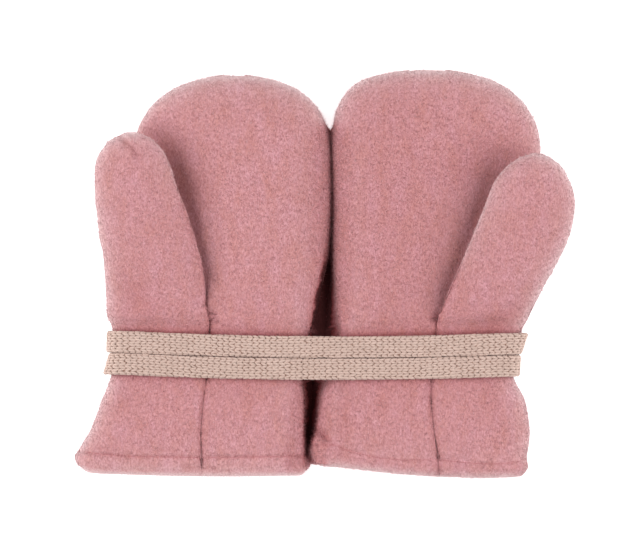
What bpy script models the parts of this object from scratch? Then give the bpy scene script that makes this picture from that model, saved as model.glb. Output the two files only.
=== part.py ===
"""A pair of baby mittens in wool fleece, laid flat with the palms up and the thumbs folded over
them, and tied together at the wrists by two turns of their flat knitted cord.

Each mitten is sewn from four cut pieces: the back, the palm, the thumb's outer half, which runs
on down to the hem as the side of the cuff, and the thumb's inner half, set in at the crotch.
Every piece is a wall of one layer of cloth, doubled where the hem is turned in.

Lengths are in millimetres, and MM makes them Blender's metres where a mesh is built. +X is to the
right, +Y points to the fingertips and +Z is up. The origin lies on the surface that the pair rests
on, at the middle of its box.
"""

import math
from collections import namedtuple

import bmesh
import bpy
from mathutils import Vector

MM = 0.001

# The cloth and its seams.
CLOTH = 2.2  # one layer of wool fleece
HEM = 2 * CLOTH  # the hem is turned in and sewn down, so it is two layers
SEAM_GAP = 0.3  # between two pieces that are sewn together
SEAM_DIP = 0.4  # how far the cloth sinks at a seam that lies level
SEAM_DIP_WIDTH = 2.5

# The flat knitted cord.
CORD_WIDTH = 7.4
CORD_THICK = 2.0
CORD_CLEAR = 0.3  # between the cord and the cloth that it is drawn round
TIED_TOP = 11.6  # height of the cloth under the front of the cord
TIED_BOTTOM = CORD_THICK + CORD_CLEAR

# How the thumb lies on the palm.
PALM_UNDER_THUMB = 8.7  # top of the palm, pressed down by the thumb
CROTCH_LAP = 1.8  # the palm is pressed down from this far below the thumb's root
PALM_SLOPE = 0.5  # the palm rises this steeply from the thumb's edge
CUFF_SLOPE = 1.4  # and from the crotch down to the cuff
PRESS_BLEND = 3.0

ACROSS_HAND = 16  # faces across the hand, and across the thumb
ACROSS_THUMB = 10
TIP_RIBS = 7  # sections that close a rounded end

# A section of the hand: where its two ends lie, seen from above, and where the seam crosses it.
# The thumb end is on the thumb's side of the hand, and the far end on the little finger's.
Plan = namedtuple("Plan", "thumb_x thumb_y far_x far_y seam_x bow")

# Heights of the same sections: the top of the palm, the underside of the back, the seam between
# them at the sides, how far in from the side the cloth curves, the wall, and the steps to the next.
Rise = namedtuple("Rise", "crown bottom seam_z side wall steps")

# A section of the thumb: its outer edge, and its inner edge beside the palm.
ThumbPlan = namedtuple("ThumbPlan", "edge_x edge_y inner_x inner_y")

# Heights of the thumb's sections: its top, its underside, the seams at its two edges, how far in
# it curves, how much its inner edge turns down (0 level, 1 fully), and the steps to the next.
ThumbRise = namedtuple("ThumbRise", "crown rest edge_z inner_z side turn steps")

# A rounded end: its length, and how square its two corners are (2 is an ellipse).
Tip = namedtuple("Tip", "depth a_power b_power")

# A soft trough in the cloth of one side's top pieces.
Fold = namedtuple("Fold", "x y heading length width depth")

# A section of any piece, from end a to end b, as the walls below are made from it. A turn of 1
# means that the cloth curves down, or up, to the seam at that end, and 0 that it ends level.
Rib = namedtuple("Rib", "ax ay bx by bow crown a_z b_z a_side b_side a_turn b_turn wall")

HAND_RISE = {
    "hem_edge": Rise(12.4, 1.2, 6.8, 6.0, 2.8, 1),
    "hem": Rise(14.0, 0.0, 6.8, 7.0, HEM, 1),
    "hem_stitch": Rise(13.6, 0.0, 6.8, 7.0, HEM, 1),
    "hem_top": Rise(13.9, 0.0, 6.8, 7.5, CLOTH, 2),
    "cuff": Rise(14.4, 0.0, 6.8, 10.0, CLOTH, 2),
    "wrist": Rise(13.6, 0.0, 6.8, 8.0, CLOTH, 2),
    "cord_low": Rise(TIED_TOP, TIED_BOTTOM, 6.95, 5.0, CLOTH, 2),
    "cord_high": Rise(TIED_TOP, TIED_BOTTOM, 6.95, 5.0, CLOTH, 2),
    "crotch": Rise(14.2, 0.0, 6.6, 10.0, CLOTH, 3),
    "palm": Rise(15.8, 0.0, 6.4, 16.0, CLOTH, 3),
    "fingers": Rise(16.2, 0.0, 6.4, 18.0, CLOTH, 3),
    "shoulder": Rise(15.4, 0.0, 6.4, 18.0, CLOTH, 1),
}
CUFF_ROWS = ("hem_edge", "hem", "hem_stitch", "hem_top", "cuff", "wrist", "cord_low", "cord_high")
HAND_ROWS = ("crotch", "palm", "fingers", "shoulder")
BACK_SIDE = 8.0  # the back lies flat up to this far from its edge
BACK_FALL = 9.0  # and the same at the fingertips
PALM_FALL = 21.0
THUMB_FALL = 12.0

THUMB_RISE = {
    "crotch": ThumbRise(14.8, 9.1, 9.6, 11.3, 11.0, 1.0, 1),
    "root": ThumbRise(14.8, 9.1, 7.5, 11.4, 9.0, 0.3, 2),
    "base": ThumbRise(16.8, 9.2, 10.8, 13.0, 13.0, 1.0, 2),
    "middle": ThumbRise(18.8, 9.2, 13.4, 13.6, 14.0, 1.0, 2),
    "upper": ThumbRise(19.5, 9.2, 14.0, 14.0, 14.0, 1.0, 2),
    "pad": ThumbRise(19.3, 9.2, 14.0, 14.0, 14.0, 1.0, 1),
}

LEFT = {
    "name": "left",
    "plan": {
        "hem_edge": Plan(-83.5, -69.5, -7.6, -70.4, -42.9, -0.8),
        "hem": Plan(-87.0, -66.6, -6.1, -67.6, -42.9, -0.8),
        "hem_stitch": Plan(-87.3, -63.4, -6.3, -64.2, -42.9, -0.8),
        "hem_top": Plan(-86.6, -62.3, -6.4, -63.0, -42.9, -0.8),
        "cuff": Plan(-82.0, -54.6, -6.5, -54.6, -43.2, -0.3),
        "wrist": Plan(-77.4, -42.6, -6.9, -43.4, -42.1, 0.0),
        "cord_low": Plan(-74.6, -36.0, -7.9, -38.0, -41.2, 0.0),
        "cord_high": Plan(-74.2, -19.0, -5.2, -20.7, -40.1, 0.0),
        "crotch": Plan(-75.6, -12.5, -2.6, -12.5, -40.8, 0.0),
        "palm": Plan(-72.6, 8.4, 1.1, 8.4, -40.8, 0.0),
        "fingers": Plan(-69.5, 25.9, 1.9, 25.9, -40.8, 0.0),
        "shoulder": Plan(-66.7, 43.4, 1.9, 43.4, -40.8, 0.0),
    },
    "tip": Tip(26.3, 2.1, 2.35),
    "thumb": {
        "crotch": ThumbPlan(-76.3, -8.0, -40.8, -14.0),
        "root": ThumbPlan(-76.1, -15.4, -40.8, -14.0),
        "base": ThumbPlan(-76.5, -5.6, -41.3, -3.9),
        "middle": ThumbPlan(-77.5, 6.7, -43.8, 8.4),
        "upper": ThumbPlan(-79.5, 20.7, -48.3, 22.4),
        "pad": ThumbPlan(-80.3, 32.9, -52.7, 34.3),
    },
    "thumb_tip": Tip(15.9, 2.1, 1.8),
    "folds": (
        Fold(-68.0, -9.0, 25, 14.0, 3.5, 0.5),
        Fold(-62.0, -46.0, 60, 12.0, 4.0, 0.7),
        Fold(-24.0, -47.0, 95, 12.0, 4.0, 0.5),
    ),
}

RIGHT = {
    "name": "right",
    "plan": {
        "hem_edge": Plan(69.1, -71.05, -4.2, -65.95, 40.1, -1.9),
        "hem": Plan(71.1, -67.6, -5.4, -62.3, 39.8, -1.9),
        "hem_stitch": Plan(70.5, -64.2, -5.4, -59.2, 39.6, -1.9),
        "hem_top": Plan(70.6, -63.0, -5.2, -58.0, 39.5, -1.8),
        "cuff": Plan(71.7, -56.0, -3.2, -52.5, 38.3, -1.0),
        "wrist": Plan(69.8, -43.1, -1.6, -43.6, 37.1, 0.0),
        "cord_low": Plan(65.6, -36.2, 0.2, -38.2, 37.3, 0.0),
        "cord_high": Plan(69.2, -19.2, 5.0, -20.9, 39.0, 0.0),
        "crotch": Plan(71.4, -12.5, 4.1, -12.5, 40.1, 0.0),
        "palm": Plan(74.0, 8.4, 3.3, 8.4, 40.1, 0.0),
        "fingers": Plan(75.4, 25.9, 3.4, 25.9, 40.1, 0.0),
        "shoulder": Plan(75.6, 43.4, 2.6, 43.4, 40.1, 0.0),
    },
    "tip": Tip(28.0, 2.2, 3.2),
    "thumb": {
        "crotch": ThumbPlan(74.3, -9.0, 39.9, -14.2),
        "root": ThumbPlan(71.2, -16.0, 39.9, -14.2),
        "base": ThumbPlan(75.1, -7.7, 42.5, -7.0),
        "middle": ThumbPlan(81.2, 3.9, 47.8, 4.9),
        "upper": ThumbPlan(85.6, 13.3, 52.5, 16.1),
        "pad": ThumbPlan(87.3, 23.1, 57.1, 27.3),
    },
    "thumb_tip": Tip(17.2, 1.8, 1.75),
    "folds": (
        Fold(61.0, -12.0, 38, 16.0, 3.5, 0.6),
        Fold(60.0, -45.0, -58, 14.0, 4.0, 0.9),
        Fold(2.5, -54.0, -35, 9.0, 3.0, 1.2),
        Fold(18.0, -47.0, 88, 13.0, 4.5, 0.5),
    ),
}

# The cord's course: y of the upper turn's middle at the left, half way and at the right, and the
# two sides that it is drawn round, each a straight line through the cloth's edge at two heights.
TURN_Y = (-24.0, -25.7, -24.4)
TURN_PITCH = CORD_WIDTH + SEAM_GAP
CORD_END_X = 40.0  # the ends are sewn to the backs, this far from the middle of the pair
CROSSING_X = 37.0  # between these the cord's back stretch crosses from one turn to the next
WRAP_STEPS = 8
FRONT_STEPS = 12
BACK_STEPS = 5

FLEECE = ("wool_fleece", (0.62, 0.29, 0.30), 0.95)
KNIT = ("cord_knit", (0.60, 0.44, 0.37), 0.9)


def mix(a, b, share):
    return a + (b - a) * share


def arc(share):
    """A quarter of a circle, as height against distance: 0 at 0, and 1 from 1 on."""
    return math.sqrt(1 - (1 - min(max(share, 0.0), 1.0)) ** 2)


def soft_min(a, b, blend):
    near = max(blend - abs(a - b), 0.0) / blend
    return min(a, b) - near * near * blend / 4


def slope_at(values, i):
    """The slope of a smooth curve through evenly spaced values, flat where they turn."""
    if i in (0, len(values) - 1):
        return values[min(i + 1, len(values) - 1)] - values[max(i - 1, 0)]
    before, after = values[i] - values[i - 1], values[i + 1] - values[i]
    return 0.0 if before * after <= 0 else 2 * before * after / (before + after)


def between(values, i, share):
    """The smooth curve's value, that share of the way from value i to the next."""
    start, end = slope_at(values, i), slope_at(values, i + 1)
    t, u = share, 1 - share
    return (
        values[i] * u * u * (1 + 2 * t)
        + values[i + 1] * t * t * (1 + 2 * u)
        + start * t * u * u
        - end * t * t * u
    )


def refined(ribs, steps):
    """The ribs with more between them, each column read from a smooth curve."""
    columns = list(zip(*ribs))
    found = []
    for i, count in enumerate(steps[: len(ribs) - 1]):
        for k in range(count):
            found.append(Rib(*(between(column, i, k / count) for column in columns)))
    return found + [ribs[-1]]


def cut_from_thumb_side(rib, x):
    """The part of a rib from its thumb end to x, which ends level at the seam."""
    share = (x - rib.ax) / (rib.bx - rib.ax)
    y = mix(rib.ay, rib.by, share) + 4 * rib.bow * share * (1 - share)
    return rib._replace(bx=x, by=y, bow=rib.bow * share**2, b_z=rib.crown, b_turn=0.0)


def cut_from_far_side(rib, x):
    """The part of a rib from x to its far end, which starts level at the seam."""
    share = (x - rib.ax) / (rib.bx - rib.ax)
    y = mix(rib.ay, rib.by, share) + 4 * rib.bow * share * (1 - share)
    return rib._replace(ax=x, ay=y, bow=rib.bow * (1 - share) ** 2, a_z=rib.crown, a_turn=0.0)


def inset(ribs, into, hem=True):
    """The ribs of a wall's inner face. It lies one wall further in where the cloth turns to a
    seam, and the same distance below or above (into is -1 or 1) where it lies level. A hem's
    first rib keeps its line."""
    found = []
    for i, rib in enumerate(ribs):
        before, after = ribs[max(i - 1, 0)], ribs[min(i + 1, len(ribs) - 1)]
        across = Vector((rib.bx - rib.ax, rib.by - rib.ay))
        moved = {"crown": rib.crown + into * rib.wall}
        for end, inward, turn in (("a", across, rib.a_turn), ("b", -across, rib.b_turn)):
            x, y = end + "x", end + "y"
            along = Vector((getattr(after, x) - getattr(before, x), getattr(after, y) - getattr(before, y)))
            normal = Vector((-along.y, along.x)).normalized()
            normal *= math.copysign(rib.wall * turn, normal.dot(inward))
            moved[x] = getattr(rib, x) + normal.x
            moved[y] = getattr(rib, y) + (0 if hem and i == 0 else normal.y)
            moved[end + "_side"] = max(getattr(rib, end + "_side") - rib.wall * turn, 1.0)
        found.append(rib._replace(**moved))
    return found


def rounded_end(rib, tip, fall, wall=0.0):
    """Ribs that go on from the last one and close the end, as its height falls to the seam's."""
    a, b = Vector((rib.ax, rib.ay)), Vector((rib.bx, rib.by))
    middle, half, depth = (a + b) / 2, (b - a) / 2, tip.depth - wall
    forward = Vector((-half.y, half.x)).normalized()
    forward *= math.copysign(1.0, forward.y)
    seam_z = (rib.a_z + rib.b_z) / 2
    found = []
    for k in range(1, TIP_RIBS + 1):
        out = math.sin(math.radians(84) * k / TIP_RIBS)
        a_end = middle + forward * depth * out - half * (1 - out**tip.a_power) ** (1 / tip.a_power)
        b_end = middle + forward * depth * out + half * (1 - out**tip.b_power) ** (1 / tip.b_power)
        settle = k / TIP_RIBS
        crown = seam_z + (rib.crown - seam_z) * arc(depth * (1 - out) / (fall - wall))
        if k == TIP_RIBS:
            crown = seam_z
        found.append(
            rib._replace(
                ax=a_end.x,
                ay=a_end.y,
                bx=b_end.x,
                by=b_end.y,
                crown=crown,
                a_z=mix(rib.a_z, seam_z, settle),
                b_z=mix(rib.b_z, seam_z, settle),
            )
        )
    return found


def height(rib, share, x, y, folds, press):
    """The height of the cloth at a point, that share of the way along a rib."""
    width = math.hypot(rib.bx - rib.ax, rib.by - rib.ay)
    base = mix(rib.a_z, rib.b_z, share)
    a_near, b_near = share * width, (1 - share) * width
    swell = 1 - rib.a_turn * (1 - arc(a_near / rib.a_side))
    swell *= 1 - rib.b_turn * (1 - arc(b_near / rib.b_side))
    dip = (1 - rib.a_turn) * (1 - arc(a_near / SEAM_DIP_WIDTH))
    dip += (1 - rib.b_turn) * (1 - arc(b_near / SEAM_DIP_WIDTH))
    crown = rib.crown - sum(trough(fold, x, y) for fold in folds)
    if press:
        crown = soft_min(crown, press(x, y), PRESS_BLEND)
    return base + (crown - base) * swell - SEAM_DIP * dip


def trough(fold, x, y):
    """How far a soft fold sinks the cloth at a point."""
    heading = math.radians(fold.heading)
    dx, dy = x - fold.x, y - fold.y
    along = dx * math.cos(heading) + dy * math.sin(heading)
    aside = dy * math.cos(heading) - dx * math.sin(heading)
    return fold.depth * math.exp(-((2 * along / fold.length) ** 2) - (aside / fold.width) ** 2)


def surface(ribs, across, folds=(), press=None):
    """A grid of points over the ribs, closer together near their ends."""
    grid = []
    for rib in ribs:
        row = []
        for j in range(across + 1):
            share = (1 - math.cos(math.pi * j / across)) / 2
            share = mix(share, j / across, 0.2)
            x = mix(rib.ax, rib.bx, share)
            y = mix(rib.ay, rib.by, share) + 4 * rib.bow * share * (1 - share)
            row.append((x, y, height(rib, share, x, y, folds, press)))
        grid.append(row)
    return grid


def wall(name, outer, inner, material):
    """A closed wall between two grids of points, with a rim all round."""
    mesh = bpy.data.meshes.new(name)
    bm = bmesh.new()
    faces = [[[bm.verts.new(Vector(p) * MM) for p in row] for row in grid] for grid in (outer, inner)]
    rows, columns = len(outer), len(outer[0])
    for grid in faces:
        for i in range(rows - 1):
            for j in range(columns - 1):
                bm.faces.new((grid[i][j], grid[i][j + 1], grid[i + 1][j + 1], grid[i + 1][j]))
    rim = [(0, j) for j in range(columns)]
    rim += [(i, columns - 1) for i in range(1, rows)]
    rim += [(rows - 1, j) for j in range(columns - 2, -1, -1)]
    rim += [(i, 0) for i in range(rows - 2, 0, -1)]
    for (i, j), (k, m) in zip(rim, rim[1:] + rim[:1]):
        bm.faces.new((faces[0][i][j], faces[0][k][m], faces[1][k][m], faces[1][i][j]))
    bmesh.ops.recalc_face_normals(bm, faces=bm.faces)
    bm.to_mesh(mesh)
    bm.free()
    mesh.shade_smooth()
    mesh.set_sharp_from_angle(angle=math.radians(50))
    mesh.materials.append(material)
    node = bpy.data.objects.new(name, mesh)
    bpy.data.collections["baby_mittens"].objects.link(node)
    return node


def make_material(name, colour, roughness):
    material = bpy.data.materials.new(name)
    material.use_nodes = True
    shader = material.node_tree.nodes["Principled BSDF"]
    shader.inputs["Base Color"].default_value = (*colour, 1)
    shader.inputs["Roughness"].default_value = roughness
    shader.inputs["Metallic"].default_value = 0.0
    return material


def hand_rib(mitten, row, top):
    """A full section of the hand, for the palm (top) or for the back."""
    plan, rise = mitten["plan"][row], HAND_RISE[row]
    gap = SEAM_GAP / 2 if top else -SEAM_GAP / 2
    return Rib(
        ax=plan.thumb_x,
        ay=plan.thumb_y,
        bx=plan.far_x,
        by=plan.far_y,
        bow=plan.bow,
        crown=rise.crown if top else rise.bottom,
        a_z=rise.seam_z + gap,
        b_z=rise.seam_z + gap,
        a_side=rise.side if top else min(rise.side, BACK_SIDE),
        b_side=rise.side if top else min(rise.side, BACK_SIDE),
        a_turn=1.0,
        b_turn=1.0,
        wall=rise.wall,
    )


def thumb_rib(mitten, row, top):
    """A section of the thumb, for its outer half (top) or its inner half."""
    plan, rise = mitten["thumb"][row], THUMB_RISE[row]
    gap = SEAM_GAP / 2 if top else -SEAM_GAP / 2
    return Rib(
        ax=plan.edge_x,
        ay=plan.edge_y,
        bx=plan.inner_x,
        by=plan.inner_y,
        bow=0.0,
        crown=rise.crown if top else rise.rest,
        a_z=rise.edge_z + gap,
        b_z=rise.inner_z + gap,
        a_side=rise.side,
        b_side=rise.side,
        a_turn=1.0,
        b_turn=rise.turn if top else 1.0,
        wall=CLOTH,
    )


def pressed(mitten, x, y):
    """The palm's greatest height at a point, where the thumb lies on it and round about."""
    root, pad = mitten["thumb"]["root"], mitten["thumb"]["pad"]
    ends, halves = [], []
    for row in (root, pad):
        edge, inner = Vector((row.edge_x, row.edge_y)), Vector((row.inner_x, row.inner_y))
        ends.append((edge + inner) / 2)
        halves.append((edge - inner).length / 2)
    axis, point = ends[1] - ends[0], Vector((x, y))
    share = min(max((point - ends[0]).dot(axis) / axis.length_squared, 0.0), 1.0)
    beside = (point - ends[0] - axis * share).length - mix(*halves, share)
    under_crotch = max(root.inner_y - CROTCH_LAP - y, 0.0)
    return PALM_UNDER_THUMB + PALM_SLOPE * max(beside, 0.0) + CUFF_SLOPE * under_crotch


def build_back(mitten, material):
    rows = CUFF_ROWS + HAND_ROWS
    ribs = refined([hand_rib(mitten, row, top=False) for row in rows], [HAND_RISE[row].steps for row in rows])
    inner = inset(ribs, into=1)
    outer = ribs + rounded_end(ribs[-1], mitten["tip"], BACK_FALL)
    inner += rounded_end(inner[-1], mitten["tip"], BACK_FALL, CLOTH)
    grids = [surface(side, ACROSS_HAND) for side in (outer, inner)]
    wall(mitten["name"] + "_back", *grids, material)


def palm_ribs(mitten):
    """The palm's sections: from the seam to the far side along the cuff, then fanning out over
    the crotch to the hand's whole width, as the palm goes under the thumb."""
    toward_far = math.copysign(SEAM_GAP / 2, mitten["plan"]["hem"].far_x - mitten["plan"]["hem"].thumb_x)
    ribs, steps = [], []
    for row in CUFF_ROWS:
        rib = hand_rib(mitten, row, top=True)
        ribs.append(cut_from_far_side(rib, mitten["plan"][row].seam_x + toward_far))
        steps.append(HAND_RISE[row].steps)
    tied, whole = (hand_rib(mitten, row, top=True) for row in ("cord_high", "crotch"))
    root = mitten["thumb"]["root"]
    for share in (0.0, 0.35, 0.7):
        rib = Rib(*(mix(a, b, 0.5 + share / 2) for a, b in zip(tied, whole)))
        x = mix(root.inner_x + toward_far, whole.ax, share)
        y = mix(root.inner_y - CROTCH_LAP, whole.ay, share)
        ribs.append(rib._replace(ax=x, ay=y, a_z=rib.crown, a_turn=0.0))
        steps.append(1)
    for row in HAND_ROWS:
        ribs.append(hand_rib(mitten, row, top=True))
        steps.append(HAND_RISE[row].steps)
    return refined(ribs, steps)


def build_palm(mitten, material):
    ribs = palm_ribs(mitten)
    inner = inset(ribs, into=-1)
    outer = ribs + rounded_end(ribs[-1], mitten["tip"], PALM_FALL)
    inner += rounded_end(inner[-1], mitten["tip"], PALM_FALL, CLOTH)
    grids = []
    for side, below in ((outer, 0.0), (inner, CLOTH)):
        press = lambda x, y, below=below: pressed(mitten, x, y) - below
        grids.append(surface(side, ACROSS_HAND, mitten["folds"], press))
    wall(mitten["name"] + "_palm", *grids, material)


def build_thumb_outer(mitten, material):
    """The thumb's outer half, which is also the side of the cuff from the hem up."""
    toward_thumb = math.copysign(SEAM_GAP / 2, mitten["plan"]["hem"].thumb_x - mitten["plan"]["hem"].far_x)
    ribs, steps = [], []
    for row in CUFF_ROWS:
        rib = hand_rib(mitten, row, top=True)
        ribs.append(cut_from_thumb_side(rib, mitten["plan"][row].seam_x + toward_thumb))
        steps.append(HAND_RISE[row].steps)
    for row in ("root", "base", "middle", "upper", "pad"):
        rib = thumb_rib(mitten, row, top=True)
        ribs.append(rib._replace(bx=rib.bx + toward_thumb))
        steps.append(THUMB_RISE[row].steps)
    ribs = refined(ribs, steps)
    inner = inset(ribs, into=-1)
    outer = ribs + rounded_end(ribs[-1], mitten["thumb_tip"], THUMB_FALL)
    inner += rounded_end(inner[-1], mitten["thumb_tip"], THUMB_FALL, CLOTH)

    grids = [surface(side, ACROSS_THUMB, mitten["folds"]) for side in (outer, inner)]
    wall(mitten["name"] + "_thumb_outer", *grids, material)


def build_thumb_inner(mitten, material):
    """The thumb's inner half, which lies on the palm."""
    rows = [row for row in THUMB_RISE if row != "crotch"]
    ribs = refined(
        [thumb_rib(mitten, row, top=False) for row in rows],
        [THUMB_RISE[row].steps for row in rows],
    )
    ribs = [thumb_rib(mitten, "crotch", top=False)] + ribs[THUMB_RISE["root"].steps :]
    inner = inset(ribs, into=1, hem=False)
    outer = ribs + rounded_end(ribs[-1], mitten["thumb_tip"], THUMB_FALL)
    inner += rounded_end(inner[-1], mitten["thumb_tip"], THUMB_FALL, CLOTH)
    grids = [surface(side, ACROSS_THUMB) for side in (outer, inner)]
    wall(mitten["name"] + "_thumb_inner", *grids, material)


def side_edge(mitten, y):
    """x of the tied mitten's outer side at that y."""
    low, high = mitten["plan"]["cord_low"], mitten["plan"]["cord_high"]
    return mix(low.thumb_x, high.thumb_x, (y - low.thumb_y) / (high.thumb_y - low.thumb_y))


def front_y(share):
    """y of the upper turn's middle across the front, from the left (0) to the right (1)."""
    left, middle, right = TURN_Y
    return mix(left, right, share) + (middle - (left + right) / 2) * 4 * share * (1 - share)


def smooth_step(share):
    share = min(max(share, 0.0), 1.0)
    return share * share * (3 - 2 * share)


def cord_course():
    """The cord's stations, as (place, share or angle, y): first the end sewn to the left back, then
    both turns, and last the end sewn to the right back."""
    left_y, _, right_y = TURN_Y
    stations = [("back", mix(-CORD_END_X, -70.0, k / BACK_STEPS), left_y) for k in range(BACK_STEPS)]
    for turn in range(2):
        drop = turn * TURN_PITCH
        stations += [("left", k / WRAP_STEPS, left_y - drop) for k in range(WRAP_STEPS)]
        stations += [("front", k / FRONT_STEPS, front_y(k / FRONT_STEPS) - drop) for k in range(FRONT_STEPS)]
        stations += [("right", k / WRAP_STEPS, right_y - drop) for k in range(WRAP_STEPS)]
        if turn == 0:
            for k in range(2 * BACK_STEPS + 1):
                x = mix(64.0, -70.0, k / (2 * BACK_STEPS + 1))
                across = smooth_step((CROSSING_X - x) / (2 * CROSSING_X))
                stations.append(("back", x, mix(right_y, left_y - TURN_PITCH, across)))
    stations += [("back", mix(62.0, CORD_END_X, k / BACK_STEPS), right_y - TURN_PITCH) for k in range(BACK_STEPS + 1)]
    return stations


def cord_point(place, share, y, out):
    """A point of the cord, out from its inner face, on the rounded loop that it is drawn into."""
    low, high = TIED_BOTTOM - CORD_CLEAR, TIED_TOP + CORD_CLEAR
    radius, middle_z = (high - low) / 2, (high + low) / 2
    left_x = side_edge(LEFT, y) - CORD_CLEAR + radius
    right_x = side_edge(RIGHT, y) + CORD_CLEAR - radius
    if place == "front":
        return (mix(left_x, right_x, share), y, high + out)
    if place == "back":
        return (share, y, low - out)
    turned = math.pi * share
    sweep = (radius + out) * math.sin(turned), (radius + out) * math.cos(turned)
    if place == "left":
        return (left_x - sweep[0], y, middle_z - sweep[1])
    return (right_x + sweep[0], y, middle_z + sweep[1])


def build_cord(material):
    """The cord in two nodes, one for each turn, which meet under the middle of the pair."""
    across = [(-0.5, 0.25), (-0.41, 0.0), (0.0, 0.0), (0.41, 0.0), (0.5, 0.25)]
    outer, inner = [], []
    for place, share, y in cord_course():
        outer.append([cord_point(place, share, y + CORD_WIDTH * v, CORD_THICK * (1 - c)) for v, c in across])
        inner.append([cord_point(place, share, y + CORD_WIDTH * v, CORD_THICK * c) for v, c in across])
    join = next(i for i, row in enumerate(outer) if i > len(outer) // 3 and row[2][2] < CORD_THICK and row[2][0] < 0)
    for grid in (outer, inner):
        before, after = grid[join - 1], grid[join]
        share = before[2][0] / (before[2][0] - after[2][0])
        seam = [tuple(mix(p, q, share) for p, q in zip(a, b)) for a, b in zip(before, after)]
        grid[join:join] = [
            [(x + SEAM_GAP / 2, y, z) for x, y, z in seam],
            [(x - SEAM_GAP / 2, y, z) for x, y, z in seam],
        ]
    wall("cord_upper_turn", outer[: join + 1], inner[: join + 1], material)
    wall("cord_lower_turn", outer[join + 1 :], inner[join + 1 :], material)


def main():
    for obj in list(bpy.data.objects):
        bpy.data.objects.remove(obj)
    collection = bpy.data.collections.new("baby_mittens")
    bpy.context.scene.collection.children.link(collection)
    fleece, knit = make_material(*FLEECE), make_material(*KNIT)
    for mitten in (LEFT, RIGHT):
        build_back(mitten, fleece)
        build_palm(mitten, fleece)
        build_thumb_outer(mitten, fleece)
        build_thumb_inner(mitten, fleece)
    build_cord(knit)


main()
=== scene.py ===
import math

import bmesh
import bpy
import numpy as np
from mathutils import Matrix, Vector, kdtree, noise
from mathutils.bvhtree import BVHTree


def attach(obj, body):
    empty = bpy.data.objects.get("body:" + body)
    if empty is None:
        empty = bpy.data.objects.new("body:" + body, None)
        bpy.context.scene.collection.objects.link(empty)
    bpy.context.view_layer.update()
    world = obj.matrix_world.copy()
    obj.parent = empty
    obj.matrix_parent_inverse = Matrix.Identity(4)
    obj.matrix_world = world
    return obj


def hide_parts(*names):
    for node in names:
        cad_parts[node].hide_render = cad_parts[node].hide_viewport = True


# A pair of baby mittens in wool fleece, laid flat with the palms up and the thumbs folded over them,
# and tied together at the wrists by two turns of their flat knitted cord. Sizes are in millimetres,
# and MM makes them metres. +X is to the right, +Y points to the fingertips and +Z is up.
MM = 0.001

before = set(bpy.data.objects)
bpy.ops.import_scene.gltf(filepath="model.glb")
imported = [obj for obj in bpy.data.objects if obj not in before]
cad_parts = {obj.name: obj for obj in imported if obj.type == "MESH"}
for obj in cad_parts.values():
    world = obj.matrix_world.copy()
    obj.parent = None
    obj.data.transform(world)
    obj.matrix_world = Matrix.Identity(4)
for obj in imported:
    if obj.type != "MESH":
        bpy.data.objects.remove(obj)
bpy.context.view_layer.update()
scene = bpy.context.scene


# ------------------------------------------------------------------ The table, light and camera
# The pair lies on a large pale matt sheet. Two broad soft lamps stand low at its left and right,
# the white room gives a little light from above, and a long lens looks straight down.
TABLE_SIZE = 2400
TABLE_DROP = 0.25  # the table's face lies this far under the mittens
CAMERA_HEIGHT = 2000
OUTLINE_HEIGHT = 8  # the mittens' widest outline lies this high
VIEW_WIDTH = 225.4
VIEW_MIDDLE = (-0.9, 0.7)
LAMPS = (  # name, place, watts
    ("left_lamp", (-1300, 30, 900), 41.0),
    ("right_lamp", (1300, 30, 900), 36.5),
)
LAMP_LONG, LAMP_HIGH = 2600, 1500
ROOM_LIGHT = 0.186
TABLE_GLOW = 0.78  # the sheet's own light, which keeps it white all over


def shader_of(material):
    return material.node_tree.nodes["Principled BSDF"]


def new_material(name, colour, roughness):
    material = bpy.data.materials.new(name)
    material.use_nodes = True
    shader = shader_of(material)
    shader.inputs["Base Color"].default_value = (*colour, 1)
    shader.inputs["Roughness"].default_value = roughness
    shader.inputs["Specular IOR Level"].default_value = 0.2
    return material


def new_piece(name, bm, material):
    """A mesh object from a bmesh, which is freed."""
    mesh = bpy.data.meshes.new(name)
    bm.to_mesh(mesh)
    bm.free()
    mesh.materials.append(material)
    piece = bpy.data.objects.new(name, mesh)
    scene.collection.objects.link(piece)
    return piece


bm = bmesh.new()
bmesh.ops.create_grid(bm, x_segments=1, y_segments=1, size=TABLE_SIZE / 2 * MM)
bmesh.ops.translate(bm, verts=bm.verts, vec=(0, 0, -TABLE_DROP * MM))
white_table = new_material("white_table", (0.7, 0.7, 0.7), 0.9)
shader_of(white_table).inputs["Emission Color"].default_value = (1, 1, 1, 1)
shader_of(white_table).inputs["Emission Strength"].default_value = TABLE_GLOW
table = new_piece("table", bm, white_table)

for name, place, watts in LAMPS:
    lamp = bpy.data.lights.new(name, "AREA")
    lamp.shape = "RECTANGLE"
    lamp.size, lamp.size_y = LAMP_LONG * MM, LAMP_HIGH * MM
    lamp.energy = watts
    holder = bpy.data.objects.new(name, lamp)
    holder.location = Vector(place) * MM
    holder.rotation_euler = (-holder.location).to_track_quat("-Z", "Y").to_euler()
    scene.collection.objects.link(holder)

room = bpy.data.worlds.new("white_room")
room.use_nodes = True
room.node_tree.nodes["Background"].inputs["Color"].default_value = (1, 1, 1, 1)
room.node_tree.nodes["Background"].inputs["Strength"].default_value = ROOM_LIGHT
scene.world = room

lens = bpy.data.cameras.new("camera")
lens.lens = lens.sensor_width * (CAMERA_HEIGHT - OUTLINE_HEIGHT) / VIEW_WIDTH
lens.clip_end = 10
camera = bpy.data.objects.new("camera", lens)
camera.location = Vector((*VIEW_MIDDLE, CAMERA_HEIGHT)) * MM
scene.collection.objects.link(camera)
scene.camera = camera
scene.view_settings.view_transform = "Standard"


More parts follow.
